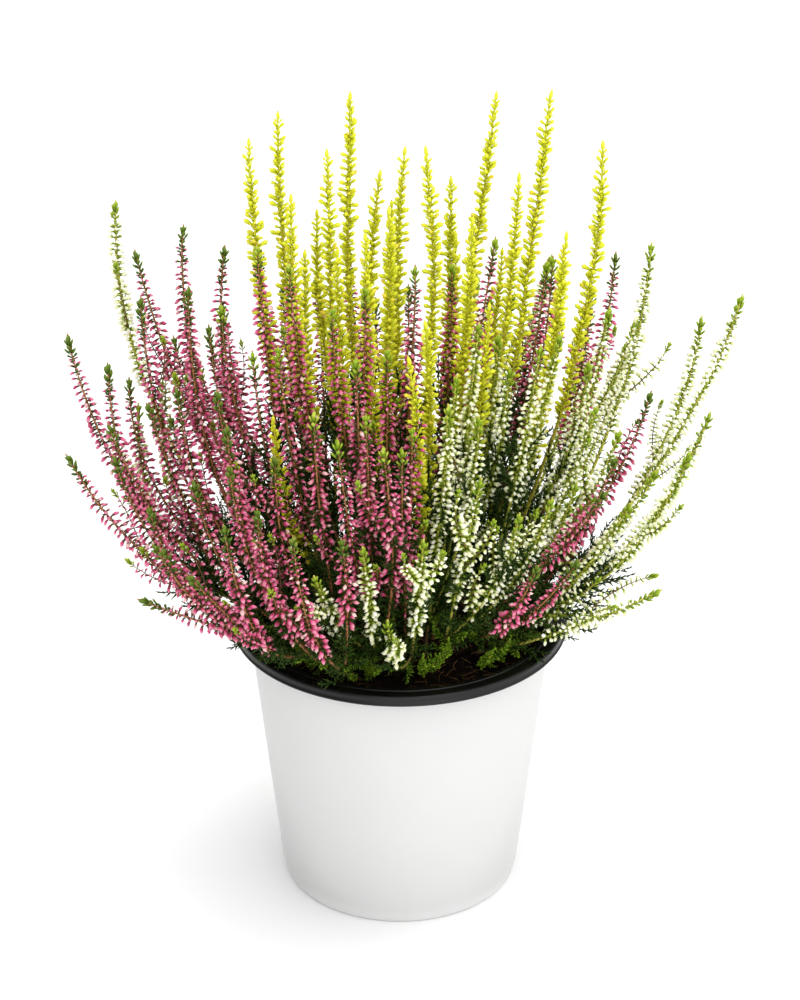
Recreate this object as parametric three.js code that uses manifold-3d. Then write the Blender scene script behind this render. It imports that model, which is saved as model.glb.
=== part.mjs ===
// Potted heather: three bud heathers, yellow, pink and white, growing together in a nursery pot
// that hangs by its rim in a tapered cover pot.
// Millimetres, +Z up. The origin is the centre of the cover pot's flat underside.
import * as THREE from 'three';
import { mergeVertices } from 'three/addons/utils/BufferGeometryUtils.js';
import Module from 'manifold-3d';

const wasm = await Module();
wasm.setup();

// ---- Driving dimensions ----
const ROUND_SIDES = 32;

// Cover pot: a plain tapered cup.
const COVER_BASE_RADIUS = 50.5;
const COVER_TOP_RADIUS = 63.6;
const COVER_TOP = 119.2;
const COVER_WALL = 1.4;
const COVER_FLOOR = 2.4;
const COVER_FOOT_ROUND = 1.5;
const COVER_STEP = 7;
const COVER_STEP_DEPTH = 0.5;

// Nursery pot: a thin pot under a wide lip with a turned-down skirt.
const RIM_RADIUS = 70;
const RIM_TOP = 121;
const SKIRT_LOW = 116.9;
const LIP_THICKNESS = 1.5;
const LIP_INNER_RADIUS = 61.6;
const NURSERY_TOP_RADIUS = 61.5;
const NURSERY_BASE_RADIUS = 48.6;
const NURSERY_WALL = 1.2;
const NURSERY_BASE = 4;
const NURSERY_FLOOR = 1.5;
const RIM_ROUND = 0.7;
const DRAIN_HOLES = 4;
const DRAIN_RADIUS = 4;
const DRAIN_CIRCLE = 30;
const DRAIN_SIDES = 6;

// Soil, with one plain square hole for each stem.
const SOIL_TOP = 112.5;
const FIT_GAP = 0.3;
const HOLE_DEPTH = 10;
const SOIL_EDGE = 52;
const FOOT_CIRCLES = [30, 45];
const FOOT_PER_RISE = 0.36;

// Stems and spikes.
const STEM_RADIUS = 1.4;
const TWIG_RADIUS = 0.95;
const STEM_LEAF_REACH = 2.3;
const STEM_LEAF_STEPS = 1;
const STEM_LEAF_ROOM = 11;
const LOW_LEAN = 0.75;
const FOOT_SINK = 9;
const FOOT_COLLAR = 1.5;
const FORK_SHARE = 0.16;
const FORK_RISE = 7;
const FLORET_LIFT = 1.3;
const TWIST = THREE.MathUtils.degToRad(11);
const LEAST_PAIRS = 3;
const PAIR_CROWDING = 0.45;
const FIRST_PAIR_DOWN = 1.6;
const CORE_SHARE = 0.75;
const OPEN_FROM = 2;
const CLOSE_OVER = 8;
const LEAF_STEP_LEAD = 0.4;
const AXIS_STEP = 0.01;

// How the stems open out from the soil, and how high up each has its middle point.
const SEED = 1887;
const MID_RISE = 0.5;
const MID_RISE_FALL = 0.4;
const SPREAD_SHARE = 0.46;
const SPREAD_LOW = 0.95;
const SPREAD_FALL = 0.0065;
const EASE_ROUNDS = 260;
const EASE_SAMPLES = 30;
const EASE_GAP = 0.9;
const EASE_SLACK = 0.05;
const RIM_GAP = 2;
const LEAST_LIFT_SHARE = 0.3;
const LEAST_MID_RISE = 7;
const LEAST_TIP_RISE = 12;
const EASE_GAIN = 0.8;
const FREE_ROOT = 0.3;
const TIP_STRAY = 7;
const MID_STRAY = 26;
const FOOT_STRAY = 8;

// One kind of spike: how far its florets or leaves reach, its core, the step from one pair to
// the next, the bare tip, over what length it reaches full width, how much of its path is in
// flower or leaf and how long that can be, and how far out it has leant by its middle.
const KINDS = {
  yellow: {
    reach: 4.1, core: 1.4, pitch: 10.6, tip: 1.9, widen: 45, share: 0.75, longest: 115, bow: 0.95,
    colour: 0xb9bf3a,
  },
  pink: {
    reach: 5.2, core: 2.1, pitch: 9, tip: 1.6, widen: 20, share: 0.6, longest: 84, bow: 0.8,
    colour: 0xc43a78,
  },
  white: {
    reach: 5.4, core: 2.2, pitch: 9, tip: 1.6, widen: 20, share: 0.6, longest: 84, bow: 0.65,
    colour: 0xeae6d2,
  },
  green: {
    reach: 3.0, core: 1.1, pitch: 6, tip: 1.4, widen: 12, share: 0.75, longest: 40, bow: 0.6,
    colour: 0x4f6b35,
  },
};

// Every spray of the three plants: the kind of its spikes and where each spike's tip stands. A tip
// can carry its own bow, where it leans out sooner or later than its kind does, and how far its
// middle sways to the right.
const SPRAYS = [
  // Yellow plant, in the middle and towards the back.
  ['yellow', [-60, 30, 320], [-49, 46, 326]],
  ['yellow', [-43, 15, 302], [-30, 26, 317], [-37, 20, 276], [-52, -18, 222]],
  ['yellow', [-20, 40, 336, 0.95, -6], [-8, 52, 299, 0.95, -11]],
  ['yellow', [-14, 4, 290], [-5, 16, 296], [-24, 8, 282]],
  ['yellow', [2, 46, 311, 0.95, -8], [10, 20, 320, 0.95, 10]],
  ['yellow', [21, 62, 293], [38.5, 50, 333, 0.45]],
  ['yellow', [30, 8, 295], [47, 30, 308, 0.7], [36, 0, 262]],
  ['yellow', [61.5, 46, 334, 0.5], [66, 10, 288, 0.8]],
  ['yellow', [81, 36, 317, 1], [70, 74, 258]],
  ['yellow', [2, -40, 253, 0.95, 12], [10, -10, 258, 0.95, 8]],
  ['yellow', [-35.5, 80, 272], [-3.5, 86, 274]],
  ['yellow', [24, 92, 258], [48, 86, 252]],
  // Pink plant, on the left, in front and between the yellow spikes.
  ['pink', [-132, 5, 246, 0.92], [-116, -10, 239, 0.95], [-104, -16, 222]],
  ['pink', [-127, -27, 212, 0.8], [-115, -38, 208], [-104, -50, 196]],
  ['pink', [-111, 16, 223, 1], [-116, -20, 216], [-96, -6, 210]],
  ['pink', [-108, 32, 272, 0.6], [-103, 10, 260, 0.95]],
  ['pink', [-86, 36, 281, 1.15], [-72, 30, 275, 1.3]],
  ['pink', [-84, 0, 269, 1.1], [-78, 8, 248], [-91, -16, 232]],
  ['pink', [-68, -6, 263], [-57, 0, 286], [-60, -10, 246]],
  ['pink', [-44, -6, 281], [-14, -12, 273]],
  ['pink', [-70, -50, 245], [-80, -65, 212], [-66, -60, 236]],
  ['pink', [-66, -76, 224], [-66, -96, 212]],
  ['pink', [-53, -90, 215], [-47, -56, 221]],
  ['pink', [-99, -70, 193, 0.65], [-85, -76, 185, 0.5], [-92, -60, 176], [-100, -52, 159]],
  ['pink', [-39, -100, 211], [-21, -90, 208]],
  ['pink', [-47, -35, 258], [-33, -65, 244]],
  ['pink', [-23, -76, 236], [-10, -82, 235]],
  ['pink', [-17, -45, 257], [-13, -56, 239]],
  ['pink', [-1, -70, 228], [6, -42, 229]],
  ['pink', [-5, -28, 254], [-26, -20, 269], [6, 10, 274]],
  ['pink', [21, 30, 267], [42, 20, 278], [38, 34, 250]],
  ['pink', [56, 38, 266], [64, 56, 260]],
  ['pink', [89, 46, 266], [82, 74, 238]],
  ['pink', [100, 0, 222, 0.62], [88, -24, 204, 0.5]],
  ['pink', [79, -50, 200, 0.4], [69, -56, 178, 0.4], [53, -76, 187, 0.4]],
  ['pink', [-96, 62, 222], [-76, 88, 226], [-88, 72, 208]],
  ['pink', [-50, 100, 232], [-60, 72, 258], [-38, 92, 236]],
  ['pink', [2, 112, 226], [-22, 98, 250], [-10, 104, 222]],
  // White plant, on the right and in front.
  ['white', [-116.5, 46, 288, 1.12], [-97, 34, 214, 1.1], [-107, 22, 208, 1.1]],
  ['white', [102, 35, 274, 0.88], [83, 10, 255]],
  ['white', [123, 20, 248, 0.85], [136, 0, 265, 0.6]],
  ['white', [122, -15, 221, 0.75], [108, -36, 217, 0.85], [104, -26, 196]],
  ['white', [103, -46, 163, 0.42], [80, -30, 138, 0.4], [98, -28, 186]],
  ['white', [80, -14, 222], [74, -26, 195], [90, -8, 206]],
  ['white', [65, 0, 248], [55, -20, 252], [76, 4, 236]],
  ['white', [37, 15, 244], [42, -5, 237]],
  ['white', [30, -15, 258], [24, -26, 241]],
  ['white', [35, -65, 215], [48, -56, 195], [63, -46, 196]],
  ['white', [19, -46, 239], [28, -32, 228]],
  ['white', [5, -76, 196], [-5, -72, 159]],
  ['white', [-17, -82, 189], [-30, -80, 174], [-38, -70, 160]],
  ['white', [99, 66, 228, 0.5], [84, 92, 222], [96, 78, 214]],
  ['white', [36, 108, 232], [62, 92, 248], [48, 100, 226]],
  // Low leafy shoots along the front of the soil.
  ['green', [-43, -36, 126], [-36, -40, 129]],
  ['green', [-19, -43, 127], [-8, -46, 129]],
  ['green', [10, -46, 128], [19, -44, 133]],
  ['green', [38, -38, 129], [47, -30, 129]],
];

// ---- Solids ----
function withoutFlatTriangles(index) {
  const kept = [];
  for (let i = 0; i < index.length; i += 3) {
    const [a, b, c] = [index[i], index[i + 1], index[i + 2]];
    if (a !== b && b !== c && c !== a) kept.push(a, b, c);
  }
  return kept;
}

function toSolid(geometry) {
  geometry.deleteAttribute('normal');
  geometry.deleteAttribute('uv');
  const merged = mergeVertices(geometry, 1e-4);
  return new wasm.Manifold(new wasm.Mesh({
    numProp: 3,
    vertProperties: Float32Array.from(merged.attributes.position.array),
    triVerts: Uint32Array.from(withoutFlatTriangles(merged.index.array)),
  }));
}

function toMesh(name, solid, colour, roughness) {
  const { vertProperties, triVerts } = solid.getMesh();
  const geometry = new THREE.BufferGeometry();
  geometry.setAttribute('position', new THREE.BufferAttribute(Float32Array.from(vertProperties), 3));
  geometry.setIndex([...triVerts]);
  geometry.computeVertexNormals();
  const material = new THREE.MeshStandardMaterial({ color: colour, roughness, metalness: 0 });
  const mesh = new THREE.Mesh(geometry, material);
  mesh.name = name;
  return mesh;
}

// Where joined stems seal a pocket between them, the pocket is filled.
function wholeBody(joined) {
  const parts = joined.decompose();
  return parts.reduce((most, part) => (part.volume() > most.volume() ? part : most));
}

// A body turned about the Z axis from [radius, height] pairs.
function turned(profile) {
  const points = profile.map(([radius, height]) => new THREE.Vector2(radius, height));
  const geometry = new THREE.LatheGeometry(points, ROUND_SIDES);
  geometry.rotateX(Math.PI / 2);
  return toSolid(geometry);
}

// A closed skin over four-sided rings, listed from the foot up, closed by a point at the top.
// Its cross edges run between the two nearer corners, so that each far corner stands alone.
function ringBody(rings, apex, axisOf) {
  const corners = rings.flat();
  const top = corners.length;
  const index = [0, 2, 1, 0, 3, 2];
  const away = (n) => corners[n].distanceTo(axisOf[Math.floor(n / 4)]);
  for (let ring = 0; ring + 1 < rings.length; ring += 1) {
    for (let side = 0; side < 4; side += 1) {
      const a = ring * 4 + side;
      const b = ring * 4 + (side + 1) % 4;
      const [c, d] = [a + 4, b + 4];
      if (away(b) + away(c) <= away(a) + away(d)) index.push(a, b, c, b, d, c);
      else index.push(a, b, d, a, d, c);
    }
  }
  for (let side = 0; side < 4; side += 1) {
    index.push(top - 4 + side, top - 4 + (side + 1) % 4, top);
  }
  const geometry = new THREE.BufferGeometry().setFromPoints([...corners, apex]);
  geometry.setIndex(index);
  return toSolid(geometry);
}

// ---- Pots and soil ----
function coverPot() {
  const slope = (COVER_TOP_RADIUS - COVER_BASE_RADIUS) / COVER_TOP;
  const radiusAt = (height) => COVER_BASE_RADIUS + slope * height;
  return turned([
    [0, 0],
    [COVER_BASE_RADIUS - COVER_FOOT_ROUND, 0],
    [radiusAt(COVER_FOOT_ROUND) - COVER_STEP_DEPTH, COVER_FOOT_ROUND],
    [radiusAt(COVER_STEP) - COVER_STEP_DEPTH, COVER_STEP],
    [radiusAt(COVER_STEP), COVER_STEP + COVER_STEP_DEPTH],
    [COVER_TOP_RADIUS, COVER_TOP],
    [COVER_TOP_RADIUS - COVER_WALL, COVER_TOP],
    [radiusAt(COVER_FLOOR) - COVER_WALL, COVER_FLOOR],
    [0, COVER_FLOOR],
  ]);
}

function nurseryRadius(height) {
  const share = (height - NURSERY_BASE) / (SKIRT_LOW - NURSERY_BASE);
  return NURSERY_BASE_RADIUS + share * (NURSERY_TOP_RADIUS - NURSERY_BASE_RADIUS);
}

function nurseryPot() {
  const lipUnder = RIM_TOP - LIP_THICKNESS;
  const pot = turned([
    [0, NURSERY_BASE],
    [NURSERY_BASE_RADIUS, NURSERY_BASE],
    [nurseryRadius(lipUnder), lipUnder],
    [RIM_RADIUS - NURSERY_WALL, lipUnder],
    [RIM_RADIUS - NURSERY_WALL, SKIRT_LOW],
    [RIM_RADIUS, SKIRT_LOW],
    [RIM_RADIUS, RIM_TOP - RIM_ROUND],
    [RIM_RADIUS - RIM_ROUND, RIM_TOP],
    [LIP_INNER_RADIUS + RIM_ROUND, RIM_TOP],
    [nurseryRadius(lipUnder) - NURSERY_WALL, lipUnder],
    [nurseryRadius(NURSERY_BASE + NURSERY_FLOOR) - NURSERY_WALL, NURSERY_BASE + NURSERY_FLOOR],
    [0, NURSERY_BASE + NURSERY_FLOOR],
  ]);
  const drains = Array.from({ length: DRAIN_HOLES }, (_, n) => {
    const angle = (n * 2 * Math.PI) / DRAIN_HOLES;
    const length = 2 * NURSERY_FLOOR + NURSERY_BASE;
    const drain = new THREE.CylinderGeometry(DRAIN_RADIUS, DRAIN_RADIUS, length, DRAIN_SIDES);
    drain.rotateX(Math.PI / 2);
    drain.translate(DRAIN_CIRCLE * Math.cos(angle), DRAIN_CIRCLE * Math.sin(angle), NURSERY_BASE);
    return toSolid(drain);
  });
  return drains.reduce((left, drain) => left.subtract(drain), pot);
}

function soil(leaders) {
  const low = NURSERY_BASE + NURSERY_FLOOR + FIT_GAP;
  const edge = (height) => nurseryRadius(height) - NURSERY_WALL - FIT_GAP;
  const block = turned([[0, low], [edge(low), low], [edge(SOIL_TOP), SOIL_TOP], [0, SOIL_TOP]]);
  return leaders.reduce((left, leader) => {
    const side = (STEM_RADIUS + FIT_GAP * Math.SQRT2) * Math.SQRT2;
    const hole = new THREE.BoxGeometry(side, side, 2 * HOLE_DEPTH);
    hole.rotateZ(leader.turn + Math.PI / 4);
    hole.translate(leader.foot.x, leader.foot.y, SOIL_TOP);
    return left.subtract(toSolid(hole));
  }, block);
}

// ---- Spikes ----
function seeded(seed) {
  let state = seed;
  return () => {
    state = (state * 1664525 + 1013904223) % 4294967296;
    return state / 4294967296;
  };
}

// How far up a leader the others fork off.
function forkOf(leader) {
  return Math.max(FORK_SHARE, FORK_RISE / (leader.tip.z - SOIL_TOP));
}

// A leader's root is its foot in the soil.
function rootOf(spike) {
  return spike.leader === spike ? spike.foot : pointOn(spike.leader, forkOf(spike.leader));
}

// A quadratic curve from a spike's root, over its middle point, to its tip.
function pointOn(spike, t) {
  const near = rootOf(spike).clone().lerp(spike.mid, t);
  return near.lerp(spike.mid.clone().lerp(spike.tip, t), t);
}

function flowerLength(kind, length) {
  return Math.min(kind.longest, kind.share * length);
}

// How far the florets or leaves stand from the stem, by the distance down from the tip.
function reachAt(kind, down, length) {
  const flower = flowerLength(kind, length);
  if (down > flower) return STEM_LEAF_REACH;
  const opened = THREE.MathUtils.smoothstep(down, OPEN_FROM, kind.widen);
  const closing = THREE.MathUtils.smoothstep(flower - down, -CLOSE_OVER, CLOSE_OVER);
  return kind.tip + (kind.reach - kind.tip) * opened * closing;
}

function footOf(tips) {
  const middle = new THREE.Vector3();
  tips.forEach((tip) => middle.add(tip));
  middle.divideScalar(tips.length);
  const rise = middle.z - SOIL_TOP;
  const share = Math.max(SPREAD_SHARE, SPREAD_LOW - SPREAD_FALL * rise);
  const overRim = Math.hypot(middle.x, middle.y) > LIP_INNER_RADIUS;
  const furthest = THREE.MathUtils.clamp(FOOT_PER_RISE * rise, ...FOOT_CIRCLES);
  const foot = new THREE.Vector3(middle.x * share, middle.y * share, 0);
  return foot.clampLength(0, overRim ? furthest : SOIL_EDGE).setZ(SOIL_TOP);
}

function makeSpikes() {
  const random = seeded(SEED);
  return SPRAYS.flatMap(([kindName, ...places], spray) => {
    const kind = KINDS[kindName];
    const tips = places.map(([x, y, z]) => new THREE.Vector3(x, y, z));
    const foot = footOf(tips);
    const spikes = tips.map((tip, n) => {
      const rise = tip.clone().sub(foot);
      const lean = Math.min(1, Math.hypot(rise.x, rise.y) / rise.z);
      const [, , , bow = kind.bow, sway = 0] = places[n];
      const midShares = new THREE.Vector3(bow, bow, MID_RISE - MID_RISE_FALL * lean);
      const mid = foot.clone().add(rise.multiply(midShares));
      mid.x += sway;
      const leafSteps = lean > LOW_LEAN ? STEM_LEAF_STEPS + 1 : STEM_LEAF_STEPS;
      return { spray, kind, foot, mid, tip, leafSteps, turn: random() * Math.PI };
    });
    const footHome = foot.clone();
    spikes.forEach((spike) => {
      spike.leader = spikes[0];
      spike.footHome = footHome;
      spike.midHome = spike.mid.clone();
      spike.tipHome = spike.tip.clone();
    });
    return spikes;
  });
}

// ---- Keeping the spikes clear of each other ----
function sampleLine(spike) {
  const length = rootOf(spike).distanceTo(spike.tip);
  return Array.from({ length: EASE_SAMPLES + 1 }, (_, n) => {
    const t = n / EASE_SAMPLES;
    return { t, point: pointOn(spike, t), reach: reachAt(spike.kind, (1 - t) * length, length) };
  });
}

function worstClash(lineA, lineB, freeRoot) {
  let worst = null;
  for (const a of lineA) {
    if (a.t < freeRoot) continue;
    for (const b of lineB) {
      if (b.t < freeRoot) continue;
      const apart = a.point.distanceTo(b.point);
      const depth = a.reach + b.reach + EASE_GAP - apart;
      if (depth > EASE_SLACK && (!worst || depth > worst.depth)) worst = { a, b, depth };
    }
  }
  return worst;
}

// Moves a spike's points so that the place at t on it shifts by the given step.
function shiftAt(spike, t, step) {
  const weights = [(1 - t) ** 2, 2 * t * (1 - t), t ** 2];
  const total = weights[0] ** 2 + weights[1] ** 2 + weights[2] ** 2;
  const level = new THREE.Vector3(step.x, step.y, 0);
  if (spike.leader === spike) spike.foot.addScaledVector(level, weights[0] / total);
  spike.mid.addScaledVector(step, weights[1] / total);
  spike.tip.addScaledVector(step, weights[2] / total);
}

// Stems pass over the rim and never hang below it, and none sags onto the soil.
function liftClear(spike, line) {
  spike.mid.z = Math.max(spike.mid.z, SOIL_TOP + LEAST_MID_RISE);
  spike.tip.z = Math.max(spike.tip.z, SOIL_TOP + LEAST_TIP_RISE);
  let worst = { low: 0 };
  for (const { t, point, reach } of line) {
    const outside = Math.hypot(point.x, point.y) > LIP_INNER_RADIUS - reach;
    const low = RIM_TOP + reach + RIM_GAP - point.z;
    if (outside && low > worst.low) worst = { low, t };
  }
  if (worst.low === 0) return;
  const midWeight = 2 * worst.t * (1 - worst.t);
  spike.mid.z += (worst.low * EASE_GAIN) / Math.max(LEAST_LIFT_SHARE, midWeight);
}

// Keeps a point within its stray of the place that it started from.
function tether(point, home, stray) {
  const offset = point.clone().sub(home).clampLength(0, stray);
  point.copy(home).add(offset);
}

function easeApart(spikes) {
  for (let round = 0; round < EASE_ROUNDS; round += 1) {
    const lines = spikes.map(sampleLine);
    let clashes = 0;
    spikes.forEach((one, a) => {
      for (let b = a + 1; b < spikes.length; b += 1) {
        const other = spikes[b];
        const clash = worstClash(lines[a], lines[b], one.spray === other.spray ? FREE_ROOT : 0);
        if (!clash) continue;
        clashes += 1;
        const step = clash.a.point.clone().sub(clash.b.point);
        step.setLength((clash.depth * EASE_GAIN) / 2);
        shiftAt(one, clash.a.t, step);
        shiftAt(other, clash.b.t, step.negate());
      }
      liftClear(one, lines[a]);
      tether(one.tip, one.tipHome, TIP_STRAY);
      tether(one.mid, one.midHome, MID_STRAY);
      tether(one.foot, one.footHome, FOOT_STRAY);
    });
    if (!clashes) return;
  }
}

// Four corners round the stem. The corners on one line across stand out, and are raised.
function ring(spike, t, turn, out, inner, lift) {
  const above = pointOn(spike, Math.min(1, t + AXIS_STEP));
  const along = above.sub(pointOn(spike, Math.max(0, t - AXIS_STEP))).normalize();
  const side = new THREE.Vector3(Math.cos(turn), Math.sin(turn), 0);
  side.addScaledVector(along, -side.dot(along)).normalize();
  const other = along.clone().cross(side);
  const axis = pointOn(spike, t);
  const corners = [side, other, side.clone().negate(), other.clone().negate()].map((way, n) => {
    const corner = axis.clone().addScaledVector(way, n % 2 === 0 ? out : inner);
    return corner.addScaledVector(along, n % 2 === 0 ? lift : 0);
  });
  return { axis, corners };
}

function upright(spike, height) {
  const axis = spike.foot.clone().setZ(height);
  const corners = [0, 1, 2, 3].map((n) => {
    const angle = spike.turn + (n * Math.PI) / 2;
    const way = new THREE.Vector3(Math.cos(angle), Math.sin(angle), 0);
    return way.multiplyScalar(STEM_RADIUS).add(axis);
  });
  return { axis, corners };
}

function spikeBody(spike) {
  const { kind } = spike;
  const curve = new THREE.QuadraticBezierCurve3(rootOf(spike), spike.mid, spike.tip);
  const length = curve.getLength();
  const flower = flowerLength(kind, length);
  const at = (down) => curve.getUtoTmapping(1 - down / length);
  const pairs = Math.max(LEAST_PAIRS, Math.round((flower - kind.tip * 2) / kind.pitch));
  const firstDown = kind.tip * FIRST_PAIR_DOWN;
  const rings = [];
  for (let n = 0; n <= pairs; n += 1) {
    const share = (n / pairs) * (1 - PAIR_CROWDING + (PAIR_CROWDING * n) / pairs);
    const down = firstDown + share * (flower - firstDown);
    const reach = reachAt(kind, down, length);
    const core = Math.min(kind.core, reach * CORE_SHARE);
    rings.push({ t: at(down), reach, core, lift: FLORET_LIFT * (reach / kind.reach) });
  }
  const isLeader = spike.leader === spike;
  const bare = length - flower;
  const leafSteps = Math.min(spike.leafSteps - (isLeader ? 1 : 0), Math.floor(bare / STEM_LEAF_ROOM));
  const leaves = { reach: STEM_LEAF_REACH, core: TWIG_RADIUS, lift: FLORET_LIFT / 2 };
  for (let n = 1; n <= leafSteps; n += 1) {
    rings.push({ t: at(flower + (bare * (n - LEAF_STEP_LEAD)) / leafSteps), ...leaves });
  }
  if (isLeader) rings.push({ t: forkOf(spike), ...leaves, core: STEM_RADIUS });
  rings.sort((one, other) => other.t - one.t);
  const placed = rings.map(({ t, reach, core, lift }, n) => {
    const odd = n % 2 === 1;
    const turn = spike.turn + n * TWIST + (odd ? Math.PI / 2 : 0);
    const made = ring(spike, t, turn, reach, core, lift);
    if (odd) made.corners = [made.corners[3], made.corners[0], made.corners[1], made.corners[2]];
    return made;
  }).reverse();
  if (isLeader) {
    placed.unshift(upright(spike, SOIL_TOP - FOOT_SINK), upright(spike, SOIL_TOP + FOOT_COLLAR));
  } else {
    placed.unshift(ring(spike, 0, spike.turn, TWIG_RADIUS, TWIG_RADIUS, 0));
  }
  return ringBody(placed.map((one) => one.corners), spike.tip, placed.map((one) => one.axis));
}

// ---- Assembly ----
const spikes = makeSpikes();
easeApart(spikes);

const group = new THREE.Group();
group.add(toMesh('cover_pot', coverPot(), 0xeceae6, 0.35));
group.add(toMesh('nursery_pot', nurseryPot(), 0x17171a, 0.5));
group.add(toMesh('soil', soil(spikes.filter((spike) => spike.leader === spike)), 0x2b221c, 0.95));

const counts = {};
SPRAYS.forEach(([kindName], spray) => {
  counts[kindName] = (counts[kindName] ?? 0) + 1;
  const bodies = spikes.filter((spike) => spike.spray === spray).map(spikeBody);
  const body = wholeBody(bodies.reduce((joined, other) => joined.add(other)));
  const name = `${kindName}_spray_${String(counts[kindName]).padStart(2, '0')}`;
  group.add(toMesh(name, body, KINDS[kindName].colour, 0.7));
});

export default group;
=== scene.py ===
# The looks of a potted heather: yellow, pink and white bud heathers in a black nursery pot that
# hangs by its rim in a white cover pot.
# Metres, +Z up. The origin is the centre of the cover pot's underside.
import math

import bmesh
import bpy
import numpy as np
from mathutils import Matrix, Vector, noise


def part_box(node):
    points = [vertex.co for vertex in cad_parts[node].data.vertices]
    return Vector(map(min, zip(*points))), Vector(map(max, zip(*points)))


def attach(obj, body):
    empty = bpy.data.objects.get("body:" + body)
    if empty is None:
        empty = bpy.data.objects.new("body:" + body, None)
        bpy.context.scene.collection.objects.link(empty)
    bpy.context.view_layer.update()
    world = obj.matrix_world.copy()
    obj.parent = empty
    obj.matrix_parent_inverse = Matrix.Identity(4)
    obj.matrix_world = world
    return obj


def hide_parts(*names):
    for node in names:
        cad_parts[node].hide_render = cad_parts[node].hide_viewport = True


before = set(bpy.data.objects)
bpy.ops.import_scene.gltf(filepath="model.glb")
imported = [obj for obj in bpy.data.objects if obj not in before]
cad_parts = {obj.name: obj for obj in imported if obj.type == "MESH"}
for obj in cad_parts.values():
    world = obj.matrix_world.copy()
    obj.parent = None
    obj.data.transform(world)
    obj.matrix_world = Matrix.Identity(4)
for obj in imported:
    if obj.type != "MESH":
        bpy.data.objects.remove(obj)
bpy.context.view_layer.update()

# ---- Sizes ----
MM = 0.001

# Camera: a long lens that looks down on the plant from in front.
PICTURE_HEIGHT = 1000
SENSOR = 36.0
FOCAL_PIXELS = 2700
CAMERA_AIM = Vector((0.0, 0.0, 0.1744))
CAMERA_DISTANCE = 1.110
CAMERA_ELEVATION = math.radians(26)

# Studio. A light has an azimuth, turned from the camera towards the right, an elevation, a strength
# and a softness, with its angles in degrees.
LIGHTS = {"key": (50, 44, 1.4, 110), "front": (10, 6, 0.5, 60), "top": (200, 80, 1.15, 50)}
WORLD_LIGHT = 0.48
WORLD_SEEN = 0.52
FLOOR_RADIUS = 20.0

# Pots. Heights and outer radii come from the frame.
POT_SEGMENTS = 128
ARC_STEPS = 5
COVER_BASE_RADIUS = 50.5 * MM
COVER_WALL = 1.4 * MM
COVER_FLOOR = 2.4 * MM
COVER_FOOT_ROUND = 1.5 * MM
COVER_UNDERSIDE = 0.98
COVER_STEP = 7 * MM
COVER_STEP_DEPTH = 0.5 * MM
COVER_EDGE_ROUND = 0.6 * MM
LIP_THICKNESS = 1.5 * MM
LIP_INNER_RADIUS = 61.6 * MM
LIP_ROUND = 1.2 * MM
LIP_STEPS = 8
LIP_BEAD = 0.6 * MM
BEAD_HEIGHT = 2.4 * LIP_BEAD
GROOVE_DEPTH = 0.35 * MM
GROOVE_OUTER = (3.4 * MM, 3.8 * MM)
GROOVE_INNER = (2.2 * MM, 2.6 * MM)
SKIRT_LOW = 116.9 * MM
NURSERY_TOP_RADIUS = 61.5 * MM
NURSERY_BASE_RADIUS = 48.6 * MM
NURSERY_FOOT_ROUND = 1 * MM
NURSERY_WALL = 1.2 * MM
NURSERY_FLOOR = 1.5 * MM
DRAIN_HOLES = 4
DRAIN_RADIUS = 4 * MM
DRAIN_CIRCLE = 30 * MM
DRAIN_SEGMENTS = 32
DRAIN_CUT = 5 * MM

# Soil. Heaps, and the finer lumps on them and on each crumb, are noise, so many to a metre. Crumbs
# and fibres lie so many to a square metre.
SOIL_TOP = 112.5 * MM
SOIL_RINGS = 40
SOIL_SEGMENTS = 120
SOIL_RELIEF = 2.4 * MM
HEAPS, HEAP_SHARE = 55, 0.8
LUMPS, LUMP_SHARE = 260, 0.45
CRUMB_LUMPS, CRUMB_UNEVENNESS = 900, 0.45
CRUMB_FLATNESS = 0.75
CRUMB_DENSITY = 80000.0
FIBRE_DENSITY = 52000.0
FIBRE_POINTS = 6

# Stems: a spray's first stem stands in the soil, and the others fork from it. Side branchlets sit on
# them, and SHARES says how many are kept on an inner and on an outer spray, whose tips stand further
# out than OUTER_SPREAD.
FORK_SHARE = 0.16
FORK_RISE = 7 * MM
STEM_BURIED = 6 * MM
FOOT_SLICE = 0.1 * MM
LOWEST_TIP = 11.5 * MM
LOWEST_RING = 4 * MM
PATH_POINTS = 48
BRANCHLET_POINTS = 7
SHOOT_LENGTH = 14 * MM
FRESH_LENGTH = 8 * MM
TWIG_LENGTH = 32 * MM
OUTER_SPREAD = 88 * MM
OUTER_SHOOT_RISE = 56 * MM
SHARES = {"shoot": (0.66, 0.52), "pink_twig": (0.3, 0.2), "white_twig": (0.25, 0.15)}
WANDER = 0.45 * MM
WANDER_LENGTH = 40 * MM
SPRAY_PHASE, SPIKE_PHASE = 3.7, 11.3
BARK_AGES = (4 * MM, 60 * MM)
BARK_WOODY = (46 * MM, 8 * MM)
TINT_SEED = 17
LAYER_SEEDS = 20

# The curve through a spike's rings is fitted in rounds, to the nearest of these points along it.
FIT_POINTS = 241
FIT_ROUNDS = 25
FIT_SHARES = (0.02, 0.98)

# Whorls: how each turns from the one below and from spike to spike, and how far chance turns and
# sizes a piece, as shares of the looseness.
WHORL_TWIST = 0.06
SPIKE_TURN = 6.3
CHANCE_TURN = 1.6
CHANCE_SIZE = (-1.2, 0.8)

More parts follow.
